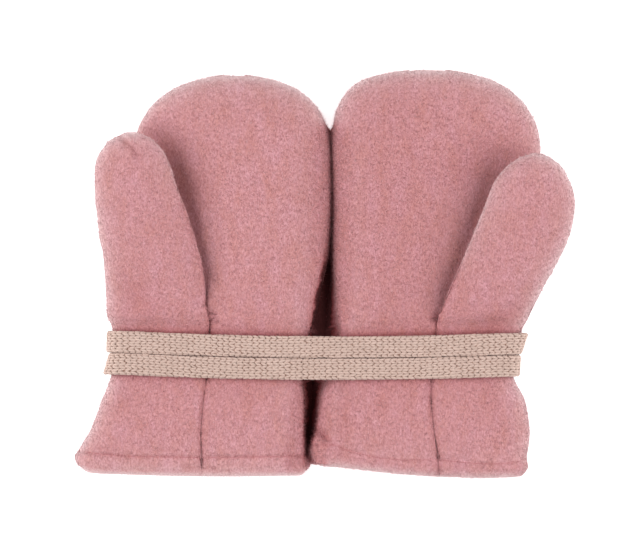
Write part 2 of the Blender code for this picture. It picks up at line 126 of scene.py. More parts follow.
# ------------------------------------------------------------------ The flat knitted cord
# A beige tubular cord of eight wales, pressed flat, that joins the two mittens. One end is sewn to
# each back, and the cord between them is drawn round both wrists twice and lies in two turns.
CORD_THICK = 2.0
TIED_LOW, TIED_HIGH = 2.0, 11.9  # the cord's inner face under the backs and over the cuffs
TURN_Y = (-23.7, -25.5, -24.4)  # the upper turn's middle at the left, half way and at the right
TURN_X = (-72.0, -3.0, 64.0)  # where that is
TURN_PITCH = 7.7
SIDE_Y = -36.0
LEFT_SIDE = {"x": -74.6, "lean": 0.0235}  # the tied wrists' outer sides: x at SIDE_Y, and its slope
RIGHT_SIDE = {"x": 65.7, "lean": 0.212}
SIDE_CLEAR = 0.3  # between the cord and those sides
WRAP_LEANS = ((0.03, 0.34), (0.30, 0.05))  # how far each turn leans where it goes round a side
CORD_END_X = 40.0  # how far to each side of the middle its ends are sewn
FLAT_LEFT_X, FLAT_RIGHT_X = -69.6, 61.0  # the stretches behind lie flat between these
CROSSING_X = 37.0  # this far to each side, the stretch behind crosses to the lower turn
ROUNDINGS = 6  # passes that round the corners of its course
COURSE = 2.06  # one knitted course along the cord
WALE_ROWS = 16  # slanting loop legs all round the cord, two to a wale
ROWS_MADE = 12  # all but those on the face that lies on the cloth


def mix(a, b, share):
    return a + (b - a) * share


def smooth_step(share):
    share = np.clip(share, 0.0, 1.0)
    return share * share * (3 - 2 * share)


def side_x(side, y):
    return side["x"] + side["lean"] * (y - SIDE_Y)


def front_y(share):
    left, middle, right = TURN_Y
    return mix(left, right, share) + (middle - (left + right) / 2) * 4 * share * (1 - share)


def cord_stations(steps=24):
    """The cord's course as points on its inner face: behind the left mitten, round both twice, and
    behind the right one."""
    radius, middle_z = (TIED_HIGH - TIED_LOW) / 2, (TIED_HIGH + TIED_LOW) / 2
    shares = [k / steps for k in range(steps)]
    left_y, right_y = TURN_Y[0], TURN_Y[2]
    points = [(mix(-CORD_END_X, FLAT_LEFT_X, t), left_y, TIED_LOW, 0.0) for t in shares]

    def go_round(x, y, way, lean):
        for t in shares:
            out, up = math.sin(math.pi * t), math.cos(math.pi * t)
            points.append((x + way * radius * out, y, middle_z + way * radius * up, lean * out))

    for turn, (left_lean, right_lean) in enumerate(WRAP_LEANS):
        drop = turn * TURN_PITCH
        left = side_x(LEFT_SIDE, left_y - drop) - SIDE_CLEAR + radius
        right = side_x(RIGHT_SIDE, right_y - drop) + SIDE_CLEAR - radius
        go_round(left, left_y - drop, -1, left_lean)
        points += [(mix(left, right, t), front_y(t) - drop, TIED_HIGH, 0.0) for t in shares]
        go_round(right, right_y - drop, 1, right_lean)
        if turn == 0:
            for t in shares:
                x = mix(right, FLAT_LEFT_X, t)
                across = float(smooth_step((CROSSING_X - x) / (2 * CROSSING_X)))
                points.append((x, mix(right_y, left_y - TURN_PITCH, across), TIED_LOW, 0.0))
    last = [mix(FLAT_RIGHT_X, CORD_END_X, k / steps) for k in range(steps + 1)]
    points += [(x, right_y - TURN_PITCH, TIED_LOW, 0.0) for x in last]
    return np.array(points)


class Course:
    """The cord's line, read by the distance along it, with the way out from the cloth."""

    def __init__(self, stations, step=0.5):
        along = np.concatenate(([0], np.cumsum(np.linalg.norm(np.diff(stations[:, :3], axis=0), axis=1))))
        self.at = np.arange(0, along[-1], step)
        self.points = np.column_stack([np.interp(self.at, along, column) for column in stations.T])
        for _ in range(ROUNDINGS):
            self.points[1:-1] = (self.points[:-2] + 2 * self.points[1:-1] + self.points[2:]) / 4
        self.lean, self.points = self.points[:, 3], self.points[:, :3]
        tangent = np.gradient(self.points, axis=0)
        out = np.cross(tangent, (0.0, 1.0, 0.0))
        self.out = out / np.linalg.norm(out, axis=1)[:, None]
        self.points = self.points + self.out * CORD_THICK / 2
        steps = np.linalg.norm(np.diff(self.points, axis=0), axis=1)
        self.at = np.concatenate(([0], np.cumsum(steps)))
        self.length = self.at[-1]

    def lay(self, along, aside, lift):
        """Points of the flattened cord laid along its line, in metres."""
        place = np.column_stack([np.interp(along, self.at, self.points[:, i]) for i in range(3)])
        out = np.column_stack([np.interp(along, self.at, self.out[:, i]) for i in range(3)])
        out /= np.linalg.norm(out, axis=1)[:, None]
        place = place + out * lift[:, None]
        place[:, 1] += aside
        place[:, 0] += aside * np.interp(along, self.at, self.lean)
        return place * MM


def flattened(around, height, half_width, half_thick):
    """Where a point lies on the pressed tube: around is 0 at the middle of the face away from the
    cloth and runs to 1 all round, and height is above the tube."""
    flat = 2 * (half_width - half_thick)
    girth = 2 * flat + 2 * math.pi * half_thick
    run = (around % 1.0) * girth + flat / 2
    run = np.mod(run, girth)
    turn = math.pi * half_thick
    aside, lift = np.zeros_like(run), np.zeros_like(run)
    top = run < flat
    aside[top], lift[top] = flat / 2 - run[top], half_thick + height[top]
    low_edge = (run >= flat) & (run < flat + turn)
    angle = (run[low_edge] - flat) / half_thick
    aside[low_edge] = -flat / 2 - (half_thick + height[low_edge]) * np.sin(angle)
    lift[low_edge] = (half_thick + height[low_edge]) * np.cos(angle)
    under = (run >= flat + turn) & (run < 2 * flat + turn)
    aside[under] = -flat / 2 + (run[under] - flat - turn)
    lift[under] = -half_thick - height[under]
    high_edge = run >= 2 * flat + turn
    angle = (run[high_edge] - 2 * flat - turn) / half_thick
    aside[high_edge] = flat / 2 + (half_thick + height[high_edge]) * np.sin(angle)
    lift[high_edge] = -(half_thick + height[high_edge]) * np.cos(angle)
    return aside, lift


def coordinates(mesh):
    points = np.zeros(len(mesh.vertices) * 3)
    mesh.vertices.foreach_get("co", points)
    return points.reshape(-1, 3)


def move_to(mesh, points):
    mesh.vertices.foreach_set("co", points.astype(np.float32).ravel())
    mesh.update()


def finish_mesh(piece):
    """Works a piece's modifiers into its mesh."""
    graph = bpy.context.evaluated_depsgraph_get()
    graph.update()
    mesh = bpy.data.meshes.new_from_object(
        piece.evaluated_get(graph), preserve_all_data_layers=True, depsgraph=graph
    )
    piece.modifiers.clear()
    piece.data = mesh
    mesh.name = piece.name


def add_node(tree, kind, values=None, **settings):
    """A new node with its settings, and with values on its sockets by their names or numbers."""
    node = tree.nodes.new(kind)
    for setting, value in settings.items():
        setattr(node, setting, value)
    for socket, value in (values or {}).items():
        node.inputs[socket].default_value = value
    return node


def link_all(tree, *pairs):
    for source, target in pairs:
        tree.links.new(source, target)


def knit_material(name, colour, deep):
    material = new_material(name, colour, 0.9)
    tree, shader = material.node_tree, shader_of(material)
    shader.inputs["Sheen Weight"].default_value = 0.12
    shader.inputs["Sheen Roughness"].default_value = 0.5
    place = add_node(tree, "ShaderNodeTexCoord")
    fuzz = add_node(tree, "ShaderNodeTexNoise", {"Scale": 2600, "Detail": 3})
    mottle = add_node(tree, "ShaderNodeTexNoise", {"Scale": 180})
    tone = add_node(tree, "ShaderNodeMix", {"A": (*deep, 1), "B": (*colour, 1)}, data_type="RGBA")
    lift = add_node(tree, "ShaderNodeMath", {1: 0.9, 2: -0.35}, operation="MULTIPLY_ADD")
    blend = add_node(tree, "ShaderNodeMath", {1: 0.9}, operation="MULTIPLY_ADD")
    bump = add_node(tree, "ShaderNodeBump", {"Strength": 0.5, "Distance": 0.1 * MM})
    link_all(
        tree,
        (place.outputs["Object"], fuzz.inputs["Vector"]),
        (place.outputs["Object"], mottle.inputs["Vector"]),
        (mottle.outputs["Fac"], lift.inputs[0]),
        (fuzz.outputs["Fac"], blend.inputs[0]),
        (lift.outputs[0], blend.inputs[2]),
        (blend.outputs[0], tone.inputs["Factor"]),
        (tone.outputs["Result"], shader.inputs["Base Color"]),
        (fuzz.outputs["Fac"], bump.inputs["Height"]),
        (bump.outputs["Normal"], shader.inputs["Normal"]),
    )
    return material


course = Course(cord_stations())
cord_yarn = knit_material("beige_cord_yarn", (0.60, 0.445, 0.387), (0.50, 0.357, 0.302))
heart_shade_knit = knit_material("beige_cord_heart", (0.36, 0.22, 0.17), (0.30, 0.18, 0.14))

# The tube inside the stitches, pressed flat. It is coloured darker than the yarn as painted shade, and
# shows dark between the stitches.
HEART_HALF_WIDTH = 3.4
HEART_HALF_THICK = 0.5
HEART_AROUND = 14
heart_stations = int(course.length / 2)
bm = bmesh.new()
bmesh.ops.create_grid(bm, x_segments=heart_stations, y_segments=HEART_AROUND, size=0.5)
heart = new_piece("cord_heart", bm, heart_shade_knit)
flat = coordinates(heart.data)
aside, lift = flattened(flat[:, 1] + 0.5, np.zeros(len(flat)), HEART_HALF_WIDTH, HEART_HALF_THICK)
move_to(heart.data, course.lay((flat[:, 0] + 0.5) * course.length, aside, lift))
bm = bmesh.new()
bm.from_mesh(heart.data)
bmesh.ops.remove_doubles(bm, verts=bm.verts, dist=0.01 * MM)
bmesh.ops.holes_fill(bm, edges=bm.edges, sides=0)
bmesh.ops.recalc_face_normals(bm, faces=bm.faces)
bm.to_mesh(heart.data)
bm.free()
heart.data.shade_smooth()

# One course of the knitting. The legs of its loops lie side by side round the tube as short rounded
# bars that lean one way and the other in turn, and small holes are left where their ends meet.
LEG_HALF_WIDE = 1.16
LEG_HALF_HIGH = 0.53
LEG_HALF_THICK = 0.45
LEG_CORNER = 0.77  # how square its ends are, from 0.71 for round to 1
LEG_CREST = 0.8  # how flat its crest is, the same way
ROUND = 0.7071  # where a round bar's points lie, at 45 degrees
LEG_RAISED = 0.03
LEG_POINTS = 26
SIZES_DIFFER, PLACES_DIFFER, HEIGHTS_DIFFER = 0.06, 0.05, 0.03  # from leg to leg
STITCH_SEED = 7
ROWS_WANDER = ((0.5, 23.0, 0.0), (0.35, 9.5, 1.0))  # waves round the tube: how far, how long, start
girth = 4 * (HEART_HALF_WIDTH - HEART_HALF_THICK) + 2 * math.pi * HEART_HALF_THICK
row_width = girth / WALE_ROWS
bm = bmesh.new()
for row in range(ROWS_MADE):
    leg = bmesh.ops.create_uvsphere(bm, u_segments=8, v_segments=4, radius=1)["verts"]
    for vert in leg:
        x, y, z = vert.co
        if abs(z) < 0.9:
            rise = LEG_CREST / ROUND if abs(z) > 0.1 else 1.0
            square = LEG_CORNER / ROUND if abs(abs(x) - abs(y)) < 0.1 else 1.0
            x, y = x * rise * square, y * rise * square
            z = z * LEG_CREST / ROUND
        vert.co = (x * LEG_HALF_WIDE, y * LEG_HALF_HIGH, z * LEG_HALF_THICK)
        vert.co.x += (1 if row % 2 else -1) * vert.co.y * COURSE / 2 / row_width
    bmesh.ops.translate(bm, verts=leg, vec=(0, (row - (ROWS_MADE - 1) / 2) * row_width, LEG_RAISED))
courses = int(course.length / COURSE)

for name, first, last in (
    ("cord_stitches_upper", 0, courses // 2),
    ("cord_stitches_lower", courses // 2, courses),
):
    stitches = new_piece(name, bm.copy(), cord_yarn)
    array = stitches.modifiers.new("courses", "ARRAY")
    array.count = last - first
    array.use_relative_offset = False
    array.use_constant_offset = True
    array.constant_offset_displace = (COURSE, 0, 0)
    finish_mesh(stitches)
    flat = coordinates(stitches.data)
    rng = np.random.default_rng(STITCH_SEED + first)
    legs = flat.reshape(-1, LEG_POINTS, 3)
    middles = legs.mean(axis=1, keepdims=True)
    legs[:] = middles + (legs - middles) * rng.normal(1.0, SIZES_DIFFER, (len(legs), 1, 1))
    legs[:, :, :2] += rng.normal(0, PLACES_DIFFER, (len(legs), 1, 2))
    legs[:, :, 2] += rng.normal(0, HEIGHTS_DIFFER, (len(legs), 1))
    along = flat[:, 0] + (first + 0.5) * COURSE
    twist = sum(far * np.sin(along / wave + start) for far, wave, start in ROWS_WANDER)
    around = (-(flat[:, 1] + twist)) / girth
    aside, lift = flattened(around, flat[:, 2], HEART_HALF_WIDTH, HEART_HALF_THICK)
    laid = course.lay(along, aside, lift)
    laid[:, 2] = np.maximum(laid[:, 2], 0.0)
    move_to(stitches.data, laid)
    stitches.data.shade_smooth()
    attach(stitches, "root")
bm.free()

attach(heart, "root")
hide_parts("cord_upper_turn", "cord_lower_turn")


# ------------------------------------------------------------------ The fleece pieces
# Boiled wool fleece in heathered pink, 2.2 mm thick and brushed. Each mitten is sewn from a back,
# a palm and the two halves of its thumb, sewn inside out and turned, with the hem folded in.
PANELS = {  # the cut's width and length, and its flat area in square centimetres
    "left_back": ((92, 146), 107),
    "left_palm": ((76, 146), 86),
    "left_thumb_outer": ((52, 124), 46),
    "left_thumb_inner": ((42, 66), 20),
    "right_back": ((88, 146), 107),
    "right_palm": ((76, 146), 89),
    "right_thumb_outer": ((44, 120), 40),
    "right_thumb_inner": ((40, 62), 18),
}
CREASES = (  # side, x, y, heading, length, width, depth, shade; the shade is painted into the wool's colour, and a negative depth is a ridge
    ("top", -69.5, 46.3, -40, 8.0, 1.0, 0.9, 0.26),
    ("top", -66.0, 42.0, -65, 6.0, 1.0, 0.7, 0.18),
    ("top", -66.5, -7.0, -50, 20.0, 5.0, 0.9, 0.15),
    ("top", -71.5, -15.5, 10, 8.0, 3.0, 0.5, 0.1),
    ("top", -70.0, -44.0, 62, 16.0, 3.6, 0.7, 0.1),
    ("top", -70.0, -48.0, 75, 22.0, 4.0, -0.4, 0.0),
    ("top", 63.0, -15.5, 22, 20.0, 3.4, 1.1, 0.18),
    ("top", 70.0, -8.0, 50, 14.0, 3.6, 0.6, 0.06),
    ("top", 58.5, -45.0, -70, 18.0, 3.6, 0.8, 0.1),
    ("top", 6.5, -48.0, 88, 26.0, 3.2, 0.5, 0.14),
    ("top", -0.8, -56.5, -38, 6.5, 1.3, 1.3, 0.4),
    ("top", 20.0, -44.0, 85, 12.0, 3.0, 0.4, 0.04),
    ("top", -25.0, -44.0, 95, 12.0, 3.0, 0.4, 0.04),
    ("top", 55.0, 40.0, 20, 26.0, 8.0, 0.8, 0.12),
    ("top", 26.0, 24.0, 90, 110.0, 26.0, 0.0, 0.1),
    ("under", -60.0, -44.0, 70, 20.0, 3.0, 0.5, 0.06),
    ("under", -25.0, -10.0, 100, 24.0, 3.5, 0.5, 0.06),
    ("under", -50.0, 8.0, 60, 26.0, 4.0, 0.4, 0.05),
    ("under", 50.0, -45.0, -65, 20.0, 3.0, 0.5, 0.06),
    ("under", 22.0, -8.0, 80, 26.0, 3.5, 0.5, 0.06),
    ("under", 52.0, 12.0, -50, 22.0, 4.0, 0.4, 0.05),
)
HEM_LINE = {  # the stitching that holds the hem, seen from above
    "left": ((-88.0, -61.5), (-80.7, -62.6), (-68.4, -63.6), (-42.5, -64.1), (-8.2, -63.6), (-5.0, -63.2)),
    "right": (
        (4.0, -59.8), (6.1, -60.9), (11.4, -62.6), (19.4, -64.3), (27.5, -65.0),
        (39.7, -64.8), (48.5, -65.8), (58.3, -66.4), (66.3, -65.8), (72.0, -64.6),
    ),
}
STITCH = 3.1  # one stitch of the hem
HEM_FINE = 2.4  # the wool is made finer this near to the hem's stitching
FOLD_BELOW = 4.0  # the hem's folded edge lies further than this below the stitching
FOLD_CREASE = 0.2  # how crisp that edge is, where a cut edge is 1
RIM_ANGLE = {"left_thumb_outer": 35, "right_thumb_outer": 35}  # a wall's rims turn by more degrees
USUAL_RIM_ANGLE = 25
LUMPS = ((0.28, 9.0, 1), (0.16, 3.2, 2))  # the wool's unevenness: how high, how wide, its seed
SEAM_TAKE_UP = 0.3  # each edge spreads this far to meet its neighbour in the seam
CROTCH_Y = (-16.6, -14.4)  # the rows of points on each side of the thumbs' crotches
THUMB_LIFTS = {"left_thumb": (10.0, 34.0, 3.0), "right_thumb": (8.0, 34.0, 2.4)}  # from y, to y, height
PAINTED_THUMB_SHADE = {  # painted shade of each thumb on the cloth beside it: y, the thumb's edge, how wide the shade is, how dark
    "left_palm": (
        (-20.0, -40.1, 1.0, 0.0), (0.0, -41.8, 1.2, 0.02), (7.0, -43.4, 2.0, 0.04),
        (14.0, -45.8, 4.0, 0.09), (21.0, -47.9, 6.5, 0.15), (30.0, -51.4, 9.5, 0.2),
        (40.0, -55.6, 11.0, 0.21), (50.0, -62.0, 9.0, 0.14),
    ),
    "right_palm": (
        (-20.0, 39.1, 3.0, 0.02), (-2.0, 45.8, 6.0, 0.03), (10.0, 49.3, 8.0, 0.03),
        (23.0, 54.8, 11.0, 0.04), (30.0, 57.2, 14.0, 0.05), (36.0, 60.6, 16.0, 0.05),
        (46.0, 74.0, 16.0, 0.03),
    ),
}
CROTCHES = {  # where the palm rises beside the thumb's root: its line as y and x, top, height
    "left_palm": (((-14.0, -40.8), (-3.9, -41.3), (8.4, -43.8)), 1.0, 3.0),
    "right_palm": (((-14.2, 39.9), (-7.0, 42.5), (4.9, 47.8)), -6.0, 2.0),
}
GAP_MIDDLE = ((-72.0, -6.4), (-63.4, -6.1), (-35.4, -4.0), (-19.6, 0.4), (-3.9, 2.0), (10.0, 2.2))  # y, x
GAP_SHADE = (  # painted shade where the two mittens press together: y, x, how wide to each side, how dark
    (-70.0, -7.2, 0.6, 0.1), (-65.0, -6.8, 1.0, 0.5), (-61.0, -6.0, 1.5, 0.7), (-57.0, -5.1, 2.6, 0.88),
    (-50.0, -4.5, 2.9, 0.95), (-44.0, -4.2, 3.2, 0.96), (-37.0, -4.3, 3.7, 0.96), (-20.0, -0.3, 5.2, 0.97),
    (-14.0, 0.1, 4.4, 0.97), (-8.0, 0.2, 3.7, 0.97), (-3.0, 0.8, 3.0, 0.95), (3.0, 1.2, 2.2, 0.9),
    (8.5, 1.6, 1.6, 0.35), (20.0, 2.4, 1.0, 0.0), (50.0, 1.4, 0.8, 0.0),
)
GAP_EDGE = {"left": 1.1, "right": 2.4}  # how softly the gap's shade ends on each mitten
GAP_WIDE = 10.0  # how far from the middle of the gap the mittens press together
GAP_CLOSING = 0.6  # how far each mitten leans to the other there
PAINTED_SHADE_FROM = 0.55  # faces painted with more of the gap's shade than this take the painted shade wool
BULGE_DEEP = 11.0  # how far into a mitten the bulge of its back reaches
BULGE_PAST, BULGE_MOST = 1.0, 12  # how far past the middle it is to end, and the most it may grow
ROW_LONG, ROW_COUNT, FIRST_ROW_Y = 2, 80, -80  # the rows in which a back's edge is looked for
CORD_HALF = 3.9  # from a turn's middle to the cloth beside it
CORD_EDGES = ((CORD_HALF, 1, 0.4), (-CORD_HALF - TURN_PITCH, -1, 0.26))  # y, way out, how dark the painted shade beside the cord is
SHADE_MOST = 0.85
SHEEN_NARROW, SHEEN_BROAD = 0.9, 3.6  # how far in from an edge its painted sheen reaches
RAY_TOP, RAY_BOTTOM = 90.0, -5.0  # heights well over and under the mittens
CORD_SWELL = (0.6, 3.5, 3.0)  # the cloth swells beside a turn: how much, how far off, how wide
SEAM_X = {"left": -41.5, "right": 39.5}  # the seam from the crotch of the thumb to the hem
SEAM_NEAR, SEAM_CORE, SEAM_TOP_Y = 8, 3, 4  # its rims are this near to SEAM_X, and lower than this y
HEM_CLEAR = 5.5  # a rim further below the hem's stitching is the hem's fold
HEM_SHEEN = {"left": 3.5, "right": 0.0}  # how far below its stitching a hem takes painted sheen like an edge
THUMB_SHEEN = {"left": (15.0, 42.0, 0.8), "right": (-25.0, 28.0, 1.15)}  # inner edge: from y, to y, how strong its painted sheen is


def islands(bm):
    """The faces of a wall in groups that its sharp rims part, the largest group first."""
    bm.faces.index_update()
    waiting, found = set(bm.faces), []
    while waiting:
        group, front = set(), [waiting.pop()]
        while front:
            face = front.pop()
            group.add(face)
            for edge in face.edges:
                if edge.smooth:
                    for other in edge.link_faces:
                        if other in waiting:
                            waiting.discard(other)
                            front.append(other)
        found.append(sorted(group, key=lambda face: face.index))
    return sorted(found, key=lambda faces: -sum(face.calc_area() for face in faces))


def divide(bm, verts, cuts):
    edges = [edge for edge in bm.edges if all(v in verts for v in edge.verts)]
    bmesh.ops.subdivide_edges(bm, edges=edges, cuts=cuts, use_grid_fill=True)


def panel_from(node, material):
    """A finer copy of a wall, with the outer face marked, and its rims kept crisp."""
    bm = bmesh.new()
    bm.from_mesh(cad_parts[node].data)
    bmesh.ops.remove_doubles(bm, verts=bm.verts, dist=0.01 * MM)
    if "palm" in node:
        # The long thin faces at the crotch are laid out afresh.
        crotch = [
            face for face in bm.faces
            if all(CROTCH_Y[0] < v.co.y / MM < CROTCH_Y[1] for v in face.verts)
        ]
        within = [edge for edge in bm.edges if all(face in crotch for face in edge.link_faces)]
        bmesh.ops.beautify_fill(bm, faces=crotch, edges=within, method="ANGLE")
    bmesh.ops.join_triangles(
        bm, faces=bm.faces, angle_face_threshold=math.radians(30), angle_shape_threshold=math.radians(60)
    )
    crease = bm.edges.layers.float.new("crease_edge")
    outer, rim = bm.verts.layers.float.new("outer"), bm.verts.layers.float.new("rim")
    hem_x, hem_y = zip(*HEM_LINE[node.split("_")[0]])
    for edge in bm.edges:
        edge.smooth = edge.calc_face_angle(0.0) < math.radians(RIM_ANGLE.get(node, USUAL_RIM_ANGLE))
    faces_up = "palm" in node or "outer" in node
    top_two = islands(bm)[:2]
    heights = [sum(face.calc_center_median().z for face in group) / len(group) for group in top_two]
    shown = set(top_two[heights.index(max(heights) if faces_up else min(heights))])
    for edge in bm.edges:
        edge.smooth = edge.smooth or all(face in shown for face in edge.link_faces)
        along = edge.verts[1].co - edge.verts[0].co
        below = [v.co.y / MM < np.interp(v.co.x / MM, hem_x, hem_y) - FOLD_BELOW for v in edge.verts]
        folded = all(below) and abs(along.x) > 0.5 * abs(along.y)
        edge[crease] = 0.0 if edge.smooth else FOLD_CREASE if folded else 1.0
    for face in shown:
        for vert in face.verts:
            vert[outer] = 1.0
            vert[rim] = 1.0 if any(not edge.smooth for edge in vert.link_edges) else 0.0
    spread = {}
    for group in islands(bm)[2:]:
        for face in group:
            hem_wall = face.normal.y < -0.7 and face.calc_center_median().y < -60 * MM
            if abs(face.normal.z) < 0.8 and not hem_wall:
                for vert in face.verts:
                    spread[vert] = spread.get(vert, Vector()) + face.normal * face.calc_area()
    for vert, way in spread.items():
        vert.co += way.normalized() * SEAM_TAKE_UP * MM
    for edge in bm.edges:
        edge.smooth = True
    panel = new_piece(node + "_fleece", bm, material)
    subdivide = panel.modifiers.new("finer", "SUBSURF")
    subdivide.levels = subdivide.render_levels = 1
    subdivide.use_limit_surface = False
    finish_mesh(panel)

    # The outer face is made finer again, and most of all at the hem's stitching and the rims.
    bm = bmesh.new()
    bm.from_mesh(panel.data)
    outer, rim = bm.verts.layers.float["outer"], bm.verts.layers.float["rim"]
    divide(bm, {v for v in bm.verts if v[outer] > 0.4}, 1)
    inside = [v for v in bm.verts if v[outer] > 0.95 and v[rim] < 0.3]
    bmesh.ops.smooth_vert(bm, verts=inside, factor=0.4, use_axis_x=True, use_axis_y=True, use_axis_z=True)
    hemmed = {
        v for v in bm.verts
        if v[outer] > 0.4 and abs(v.co.y / MM - np.interp(v.co.x / MM, hem_x, hem_y)) < HEM_FINE
    }
    divide(bm, hemmed, 2)
    divide(bm, {v for v in bm.verts if v[rim] > 0.3 and v not in hemmed}, 1)
    bm.to_mesh(panel.data)
    bm.free()
    panel.data.shade_smooth()
    return panel


def attribute(mesh, name):
    values = np.zeros(len(mesh.vertices))
    mesh.attributes[name].data.foreach_get("value", values)
    return values


def normals_of(mesh):
    normals = np.zeros(len(mesh.vertices) * 3)
    mesh.vertex_normals.foreach_get("vector", normals)
    return normals.reshape(-1, 3)


def noise_at(points, scale, seed):
    """Smooth noise, about -1 to 1, whose lumps are about that many millimetres wide."""
    offset = Vector((seed * 17.3, seed * 9.1, seed * 5.7))
    return np.array([noise.noise(Vector(p) / scale + offset) for p in points])


def hump(distance, width):
    """1 at a line, and fading off to each side of it over about that width."""
    return np.exp(-((distance / width) ** 2))


def edge_sheen(distance, narrow, broad):
    """How pale the painted sheen makes the wool at a distance from an edge."""
    return narrow * np.exp(-distance / SHEEN_NARROW) + broad * np.exp(-distance / SHEEN_BROAD)


def along_stitching(x):
    """The way along a hem, whose stitches are not all of one length."""
    return x + 0.5 * np.sin(x / 4.0)


def wool_material(name, blade=False, sheen=0.3, red_kept=0.55):
    """Heathered pink wool, made paler at its edges by painted sheen and darker and redder by painted shade,
    which its points carry as pale and deep. A blade is a fibre of it, which is of one tone."""
    colour = (0.511, 0.236, 0.246)
    material = new_material(name, colour, 0.95)
    tree, shader = material.node_tree, shader_of(material)
    shader.inputs["Sheen Weight"].default_value = sheen
    shader.inputs["Sheen Roughness"].default_value = 0.4
    shader.inputs["Sheen Tint"].default_value = (1.0, 0.93, 0.93, 1)

    def named(name):
        return add_node(tree, "ShaderNodeAttribute", attribute_name=name).outputs["Fac"]

    ramp = add_node(tree, "ShaderNodeValToRGB")
    middle = ramp.color_ramp.elements.new(0.5)
    middle.color = (*colour, 1)
    low, high = ramp.color_ramp.elements[0], ramp.color_ramp.elements[2]
    shade = add_node(tree, "ShaderNodeMapRange")
    heather = add_node(tree, "ShaderNodeMix", data_type="RGBA")
    if blade:
        low.color, high.color = (0.48, 0.212, 0.222, 1), (0.60, 0.33, 0.345, 1)
        heather.inputs["A"].default_value = (0.94, 0.92, 0.92, 1)
        heather.inputs["B"].default_value = (1.04, 1.06, 1.06, 1)
        link_all(tree, (named("tone"), ramp.inputs["Fac"]), (named("tone"), shade.inputs["Value"]))
    else:
        low.position, high.position = 0.32, 0.68
        low.color, high.color = (0.486, 0.213, 0.203, 1), (0.536, 0.260, 0.291, 1)
        shade.inputs["From Min"].default_value = 0.3
        shade.inputs["From Max"].default_value = 0.7
        heather.inputs["A"].default_value = (0.78, 0.69, 0.69, 1)
        heather.inputs["B"].default_value = (1.22, 1.31, 1.31, 1)
        place = add_node(tree, "ShaderNodeTexCoord")
        lengthways = add_node(tree, "ShaderNodeMapping", {"Scale": (1.0, 0.38, 1.0)})
        patches = add_node(tree, "ShaderNodeTexNoise", {"Scale": 210, "Detail": 5, "Roughness": 0.72})
        warp = add_node(tree, "ShaderNodeTexNoise", {"Scale": 1100, "Detail": 2})
        shift = add_node(
            tree, "ShaderNodeVectorMath", {1: (0.0007, 0.0007, 0.0007)}, operation="MULTIPLY_ADD"
        )
        grain = add_node(tree, "ShaderNodeTexNoise", {"Scale": 2500, "Detail": 3, "Roughness": 0.6})
        bump = add_node(tree, "ShaderNodeBump", {"Strength": 0.4, "Distance": 0.16 * MM})
        link_all(
            tree,
            (place.outputs["Object"], lengthways.inputs["Vector"]),
            (lengthways.outputs["Vector"], patches.inputs["Vector"]),
            (patches.outputs["Fac"], ramp.inputs["Fac"]),
            (lengthways.outputs["Vector"], warp.inputs["Vector"]),
            (warp.outputs["Color"], shift.inputs[0]),
            (lengthways.outputs["Vector"], shift.inputs[2]),
            (shift.outputs["Vector"], grain.inputs["Vector"]),
            (grain.outputs["Fac"], shade.inputs["Value"]),
            (grain.outputs["Fac"], bump.inputs["Height"]),
            (bump.outputs["Normal"], shader.inputs["Normal"]),
        )
    # Painted sheen mixes in the pale colour, and painted shade darkens the colour, the red less than the
    # rest.
    worn = add_node(tree, "ShaderNodeMix", {"B": (0.67, 0.49, 0.498, 1)}, data_type="RGBA")
    mixed = add_node(tree, "ShaderNodeVectorMath", operation="MULTIPLY")
    kept = add_node(tree, "ShaderNodeMath", {0: 1.0}, operation="SUBTRACT")
    redder = add_node(tree, "ShaderNodeMath", {1: red_kept}, operation="POWER")
    left_over = add_node(tree, "ShaderNodeCombineXYZ")
    tinted = add_node(tree, "ShaderNodeVectorMath", operation="MULTIPLY")
    link_all(
        tree,
        (shade.outputs["Result"], heather.inputs["Factor"]),
        (named("pale"), worn.inputs["Factor"]),
        (ramp.outputs["Color"], worn.inputs["A"]),
        (named("deep"), kept.inputs[1]),
        (kept.outputs[0], redder.inputs[0]),
        (redder.outputs[0], left_over.inputs["X"]),
        (kept.outputs[0], left_over.inputs["Y"]),
        (kept.outputs[0], left_over.inputs["Z"]),
        (worn.outputs["Result"], mixed.inputs[0]),
        (heather.outputs["Result"], mixed.inputs[1]),
        (mixed.outputs["Vector"], tinted.inputs[0]),
        (left_over.outputs["Vector"], tinted.inputs[1]),
        (tinted.outputs["Vector"], shader.inputs["Base Color"]),
    )
    return material


def keep(mesh, name, values):
    layer = mesh.attributes.get(name) or mesh.attributes.new(name, "FLOAT", "POINT")
    layer.data.foreach_set("value", values.astype(np.float32))


def distance_to(points, targets):
    """How far each point is from the nearest target, and which target that is."""
    tree = kdtree.KDTree(len(targets))
    for i, target in enumerate(targets):
        tree.insert(Vector(target), i)
    tree.balance()
    found = [tree.find(Vector(p)) for p in points]
    return np.array([entry[2] for entry in found]), np.array([entry[1] for entry in found])


def tree_of(pieces):
    """The pieces' faces in millimetres for finding where a ray meets them, and their points."""
    points, faces = [], []
    for piece in pieces:
        faces += [[len(points) + i for i in face.vertices] for face in piece.data.polygons]
        points += [vert.co / MM for vert in piece.data.vertices]
    return BVHTree.FromPolygons(points, faces), points


def outline_of(pieces, step=0.5):
    """Points along the outline that some pieces have together, seen from above."""
    tree, points = tree_of(pieces)
    low, high = np.min(points, axis=0), np.max(points, axis=0)
    xs, ys = (np.arange(low[i] - 2 * step, high[i] + 2 * step, step) for i in (0, 1))
    down = Vector((0, 0, -1))
    hit = np.array([[tree.ray_cast(Vector((x, y, RAY_TOP)), down)[0] is not None for y in ys] for x in xs])
    inside = hit[:-2, 1:-1] & hit[2:, 1:-1] & hit[1:-1, :-2] & hit[1:-1, 2:]
    i, j = np.nonzero(hit[1:-1, 1:-1] & ~inside)
    return np.column_stack((xs[i + 1], ys[j + 1], np.zeros(len(i))))


